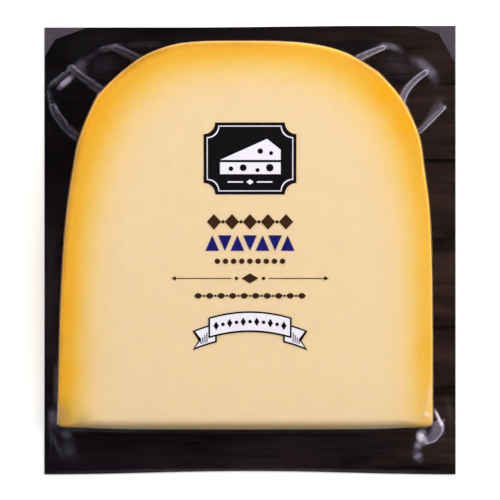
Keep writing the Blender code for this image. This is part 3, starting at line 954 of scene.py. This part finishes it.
# Painted highlights on the film over the cheese, set out like the wrinkles but with no height: along the
# nose, up the right side, and small bright nicks at the rind's edge
PAINTED_FACE_HIGHLIGHTS = [Wrinkle(*values) for values in (
    ((-0.0520, -0.0490), (0.0000, -0.0500), (0.0520, -0.0492), 0.0040, 0.0, 0.022),
    ((0.0533, -0.0380), (0.0534, -0.0440), (0.0523, -0.0490), 0.0016, 0.0, 0.12),
    ((0.0528, -0.0482), (0.0526, -0.0490), (0.0522, -0.0496), 0.0024, 0.0, 0.42),
    ((0.0522, -0.0502), (0.0480, -0.0506), (0.0430, -0.0505), 0.0024, 0.0, 0.07),
    ((-0.0566, -0.0455), (-0.0567, -0.0500), (-0.0558, -0.0522), 0.0044, 0.0, 0.050),
    ((-0.0455, 0.0465), (-0.0449, 0.0459), (-0.0440, 0.0452), 0.0011, 0.0, 0.16),
    ((0.0440, 0.0455), (0.0458, 0.0430), (0.0473, 0.0402), 0.0010, 0.0, 0.14),
    ((-0.0290, 0.0615), (-0.0240, 0.0620), (-0.0200, 0.0621), 0.0009, 0.0, 0.10),
)]
SOFT_REACH = 1.15           # half widths from its line at which a wrinkle or crease is gone
WRINKLE_END = 0.3           # the share of a wrinkle's length over which it fades at each end
CREASE_WIDTH = 0.0016       # creases that run up the wall from the folds
CREASE_TOP = 0.0160
CREASE_LIFT = 0.00030
# The painted sheen along these creases
CREASE_MILK = 0.05


def beside_line(line, xs, ys):
    """Where points lie by a curved line: the share along it, and how far to its left and past its end."""
    start, middle_point, tip = (np.array(point) for point in (line.start, line.middle, line.tip))
    nearest = np.full(xs.shape, 1e9)
    along_there, left_there, past_there = np.zeros(xs.shape), np.zeros(xs.shape), np.zeros(xs.shape)
    for along in np.linspace(0.0, 1.0, FOLD_STEPS):
        place = (1 - along) ** 2 * start + 2 * along * (1 - along) * middle_point + along**2 * tip
        slope = (1 - along) * (middle_point - start) + along * (tip - middle_point)
        slope = slope / np.hypot(*slope)
        away_x, away_y = xs - place[0], ys - place[1]
        away = np.hypot(away_x, away_y)
        forward = away_x * slope[0] + away_y * slope[1]
        if along == 0.0:
            past = np.maximum(-forward, 0)
        elif along == 1.0:
            past = np.maximum(forward, 0)
        else:
            past = np.zeros(xs.shape)
        closer = away < nearest
        nearest = np.where(closer, away, nearest)
        along_there = np.where(closer, along, along_there)
        left_there = np.where(closer, slope[0] * away_y - slope[1] * away_x, left_there)
        past_there = np.where(closer, past, past_there)
    return along_there, left_there, past_there


def wrinkle_share(wrinkle, xs, ys, at_ends):
    """How much of a wrinkle each point has: all on its line, and less at its ends and beside it."""
    along, left, past = beside_line(wrinkle, xs, ys)
    share = smooth(SOFT_REACH - np.hypot(left, past) / (wrinkle.width / 2))
    inside = smooth(np.minimum(along, 1 - along) / WRINKLE_END)
    return share * (at_ends + (1 - at_ends) * inside)


def film_marks(xs, ys):
    """The film's height off the web away from the wall, and how its folds and wrinkles look there: their
    haze and their painted sheen and highlights.
    """
    relief = np.zeros(xs.shape)
    across = np.full(xs.shape, FAR)
    marks = {"milk": np.zeros(xs.shape), "painted_edge_highlight": np.zeros(xs.shape), "painted_sheen": np.zeros(xs.shape)}
    for fold in FOLDS:
        along, left, past = beside_line(fold, xs, ys)
        half = fold.width / 2 * (FOLD_ROOT - FOLD_TAPER * along)
        away = np.minimum(np.hypot(left, past) / half, FAR)
        kept = smooth(1 - past / fold.width)
        here = (away < across) & (away < 0.8 * FAR)
        across = np.where(here, away, across)
        # The fold's milkiness, partly real haze and partly painted sheen, and the painted highlights
        # along its edges
        marks["milk"] = np.where(here, fold.milk * kept * (1 - MILK_FADE * along), marks["milk"])
        edge = np.where(left > 0, fold.left, fold.right)
        shine = EDGE_SHINE[0] + EDGE_SHINE[1] * along
        marks["painted_edge_highlight"] = np.where(here, edge * kept * shine, marks["painted_edge_highlight"])
        crest = fold.low + (fold.high - fold.low) * (1 - along) ** 1.1
        dip = 1 - FOLD_DIP * smooth(1 - away / FOLD_DIP_REACH)
        relief = np.maximum(relief, crest * (smooth((FOLD_TOP - away) / FOLD_FLANK) * dip))
    for wrinkle in WRINKLES:
        # The wrinkles' painted sheen and highlights
        share = wrinkle_share(wrinkle, xs, ys, at_ends=0.25)
        marks["painted_sheen"] = np.maximum(marks["painted_sheen"], wrinkle.milk * share)
        relief = np.maximum(relief, wrinkle.height * share)
    to_edge = np.minimum(pack_width / 2 - np.abs(xs), pack_top(xs) - ys)
    to_edge = np.minimum(to_edge, ys - pack_bottom(xs))
    relief = relief * smooth(to_edge / EDGE_FADE)
    from_corner = (pack_width / 2 - np.abs(xs)) + (pack_length / 2 - ys)
    relief = relief + CORNER_LIFT * smooth(1 - from_corner / CORNER_LIFT_REACH)
    marks["across"] = across
    return relief, marks


def pack_edge(xs, ys, normal_x, normal_y, tiny=1e-6):
    """Where rays from the wall's foot meet the pack's edge, with one ray to each corner."""
    safe_x = np.where(np.abs(normal_x) < tiny, tiny, normal_x)
    safe_y = np.where(np.abs(normal_y) < tiny, tiny, normal_y)
    reach_x = (np.sign(safe_x) * pack_width / 2 - xs) / safe_x
    reach_y = (np.sign(safe_y) * pack_length / 2 - ys) / safe_y
    reach = np.minimum(reach_x, reach_y)
    edge_x, edge_y = xs + normal_x * reach, ys + normal_y * reach
    for corner_x in (-pack_width / 2, pack_width / 2):
        for corner_y in (-pack_length / 2, pack_length / 2):
            nearest = np.argmin(np.hypot(edge_x - corner_x, edge_y - corner_y))
            edge_x[nearest], edge_y[nearest] = corner_x, corner_y
    return edge_x, np.clip(edge_y, pack_bottom(edge_x), pack_top(edge_x))


# The sheet's columns lie closer together where the folds start and at the nose's corners
busy_spots = [fold.start for fold in FOLDS] + FILM_CORNERS
outline = face_outline(FILM_COLUMNS, busy_spots, FILM_DETAIL)
outline_x, outline_r, outline_nx, outline_nr = outline
face_shares = 1 - (1 - np.linspace(0.0, 1.0, FILM_FACE_ROWS)[:-1]) ** 2.2
rows = face_rows(outline, FILM_GAP, face_shares, np.linspace(0.0, math.pi / 2, FILM_ROUNDING_ROWS))
rim_row = rows[-1]
nose_side = smooth((-outline_nr - 0.3) / 0.6)
curve = FOOT_CURVE + (NOSE_FOOT_CURVE - FOOT_CURVE) * nose_side
outline_y = AXIS_Y + outline_r
edge_x, edge_y = pack_edge(outline_x, outline_y, outline_nx, outline_nr)
web_top = web_high.z + WEB_GAP
apron = []
for turn in np.linspace(0.0, math.pi / 2, FOOT_ROWS):
    out = FILM_GAP + curve * (1 - math.cos(turn))
    row_x, row_y = outline_x + outline_nx * out, outline_y + outline_nr * out
    relief = film_marks(row_x, row_y)[0]
    height = web_top + np.maximum(curve * (1 - math.sin(turn)), relief)
    apron.append(np.stack([row_x, row_y, height], axis=1))
foot_x, foot_y = apron[-1][:, 0], apron[-1][:, 1]
for share in np.linspace(0.0, 1.0, APRON_ROWS)[1:]:
    row_x, row_y = foot_x + (edge_x - foot_x) * share, foot_y + (edge_y - foot_y) * share
    relief = film_marks(row_x, row_y)[0]
    apron.append(np.stack([row_x, row_y, web_top + relief], axis=1))
for share in np.linspace(0.0, 1.0, WALL_ROWS)[1:-1]:
    rows.append(rim_row + (apron[0] - rim_row) * share)
rows += apron
film = wrapped_sheet("drawn_film", rows)

points = positions(film)
low_down = smooth((LOW_TOP - points[:, 2]) / LOW_RUN)
crease = np.zeros(len(points))
for fold in FOLDS:
    away = np.hypot(points[:, 0] - fold.start[0], points[:, 1] - fold.start[1])
    crease = np.maximum(crease, smooth(SOFT_REACH - away / (CREASE_WIDTH / 2)))
crease *= smooth((CREASE_TOP - points[:, 2]) / CREASE_TOP)
swell = unevenness(points, *FILM_SWELL_SCALES, seed=3)
outwards = swell * FILM_SWELL + crease * (1 - low_down) * CREASE_LIFT
points += vertex_normals(film) * outwards[:, None]
set_positions(film, points)
relief, marks = film_marks(points[:, 0], points[:, 1])
# Painted sheen along the creases and painted highlights on the film over the cheese
on_face = crease * CREASE_MILK
for wrinkle in PAINTED_FACE_HIGHLIGHTS:
    share = wrinkle_share(wrinkle, points[:, 0], points[:, 1], at_ends=0.1)
    on_face = np.maximum(on_face, wrinkle.milk * share)
marks["painted_sheen"] = marks["painted_sheen"] * low_down + on_face * (1 - low_down)

# The film's shader reads these: how far across a fold a vertex lies, how milky the fold is there, partly
# real haze and partly painted sheen, the painted highlights along its edges, the painted sheen and
# highlights of the wrinkles, and whether it lies on the cheese
attribute(film, "across", marks["across"])
attribute(film, "milk", marks["milk"] * low_down)
attribute(film, "painted_edge_highlight", marks["painted_edge_highlight"] * low_down)
attribute(film, "painted_sheen", marks["painted_sheen"])
attribute(film, "face", 1 - low_down)
thicken(film, FILM_THICKNESS, 1.0)

# The film mirrors a little, more at a slant. A fold is milky between its two edges, partly real haze and
# partly painted sheen, and its edges and the wrinkles carry painted highlights.
# Lilac for the folds' haze and sheen, pale lilac for their painted highlights, and cream for the painted
# highlights on the film over the cheese
FILM_LILAC = (0.72, 0.66, 0.92, 1.0)
FILM_PALE_LILAC = (0.90, 0.85, 1.0, 1.0)
FILM_CREAM = (1.0, 0.94, 0.84, 1.0)
film_material, tree = new_material("clear_film")
ripple = mottle(tree, 0.0045, 0.0009, 0.35)
relief = add(tree, "ShaderNodeBump", {"Height": ripple, "Strength": 0.25, "Distance": 0.0002})
across, on_cheese = read(tree, "across"), read(tree, "face")
between = remap(tree, across, 0.85, 1.10, 1.0, 0.0)
edge_inside = remap(tree, across, 0.55, 0.80, 0.0, 1.0)
edge_outside = remap(tree, across, 0.90, 1.15, 1.0, 0.0)
edge = maths(tree, "MULTIPLY", edge_inside, edge_outside)
# The folds' milkiness, the wrinkles' painted sheen and highlights, and the painted highlights along the
# folds' edges
haze_and_highlights = maths(tree, "MULTIPLY_ADD", read(tree, "milk"), between, read(tree, "painted_sheen"))
haze_and_highlights = maths(tree, "MULTIPLY_ADD", read(tree, "painted_edge_highlight"), edge, haze_and_highlights)
haze_and_highlights = maths(tree, "MULTIPLY", haze_and_highlights, remap(tree, ripple, 0.35, 0.65, 0.75, 1.2))
facing = add(tree, "ShaderNodeLayerWeight", {"Blend": 0.5, "Normal": relief.outputs["Normal"]})
grazing = maths(tree, "POWER", facing.outputs["Facing"], 5.0)
mirror = remap(tree, on_cheese, 0.0, 1.0, 0.25, 0.13)
gloss = maths(tree, "MULTIPLY_ADD", grazing, mirror, 0.015)
gloss = maths(tree, "MULTIPLY", gloss, remap(tree, across, 0.45, 0.75, 0.35, 1.0))
seen = maths(tree, "ADD", gloss, haze_and_highlights)
lilac = ramp(tree, haze_and_highlights, [(0.15, FILM_LILAC), (0.70, FILM_PALE_LILAC)])
surface(tree, {
    "Base Color": blend(tree, on_cheese, lilac, FILM_CREAM),
    "Metallic": maths(tree, "DIVIDE", gloss, seen),
    "Roughness": remap(tree, haze_and_highlights, 0.0, 0.3, 0.16, 0.36),
    "Alpha": maths(tree, "MINIMUM", seen, 1.0),
    "Normal": relief.outputs["Normal"],
})
film.data.materials.append(film_material)

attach(film, "root")
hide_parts("top_film")


# Floor, light and camera: a plain pale floor that glows like a light table, large soft lamps on
# all four sides, the strongest at the right, and the camera straight above the pack.

FLOOR_SIZE = 6.0
FLOOR_GLOW = 0.18
LAMP_SIZE = 0.80
CAMERA_HEIGHT = 0.900
VIEW_WIDTH = 0.150          # what the picture's width covers at the floor
SENSOR_WIDTH = 36.0

select_none()
bpy.ops.mesh.primitive_plane_add(size=FLOOR_SIZE, location=(0, 0, 0))
floor = bpy.context.object
floor.name = "floor"
floor_material, tree = new_material("pale_floor")
patches = mottle(tree, 0.2, 0.02, 0.3)
colour = ramp(tree, patches, [(0.3, (0.95, 0.95, 0.95, 1.0)), (0.7, (0.97, 0.97, 0.97, 1.0))])
surface(tree, {
    "Base Color": colour, "Roughness": 0.8, "Specular IOR Level": 0.1,
    "Emission Color": (0.95, 0.98, 1.0, 1.0), "Emission Strength": FLOOR_GLOW,
})
floor.data.materials.append(floor_material)


def soft_lamp(name, place, power, colour):
    """A square soft lamp that faces the pack."""
    lamp = bpy.data.objects.new(name, bpy.data.lights.new(name, "AREA"))
    lamp.data.size = LAMP_SIZE
    lamp.data.energy = power
    lamp.data.color = colour
    lamp.location = place
    lamp.rotation_euler = Vector(place).to_track_quat("Z", "Y").to_euler()
    bpy.context.scene.collection.objects.link(lamp)


soft_lamp("lamp_right", (0.60, 0.28, 0.62), 9.0, (0.99, 0.99, 0.97))
soft_lamp("lamp_left", (-0.64, 0.24, 0.56), 4.5, (0.97, 0.99, 1.0))
soft_lamp("lamp_top", (0.0, 0.85, 0.60), 3.6, (0.99, 1.0, 1.0))
soft_lamp("lamp_front", (0.1, -0.90, 0.45), 0.6, (1.0, 1.0, 1.0))

# The room is bright low down, behind the pack and beside it, for its folds and edges to mirror,
# and dark overhead
world = bpy.data.worlds.new("studio")
bpy.context.scene.world = world
world.use_nodes = True
tree = world.node_tree
tree.nodes.clear()
direction = add(tree, "ShaderNodeTexCoord").outputs["Generated"]
direction = add(tree, "ShaderNodeSeparateXYZ", {0: direction}).outputs
sky = ramp(tree, direction["Z"], [
    (0.0, (1.0, 1.0, 1.0, 1)), (0.25, (0.75, 0.75, 0.75, 1)), (0.60, (0.02, 0.02, 0.022, 1)),
])
strength = remap(tree, direction["Y"], -0.7, 0.0, 0.15, 1.27)
background = add(tree, "ShaderNodeBackground", {"Color": sky, "Strength": strength})
add(tree, "ShaderNodeOutputWorld", {"Surface": background.outputs[0]})

camera = bpy.data.objects.new("camera", bpy.data.cameras.new("camera"))
camera.location = (0, 0, CAMERA_HEIGHT)
camera.data.sensor_width = SENSOR_WIDTH
camera.data.lens = SENSOR_WIDTH * CAMERA_HEIGHT / VIEW_WIDTH
camera.data.clip_start = 0.01
bpy.context.scene.collection.objects.link(camera)
bpy.context.scene.camera = camera
bpy.context.scene.view_settings.view_transform = "Standard"
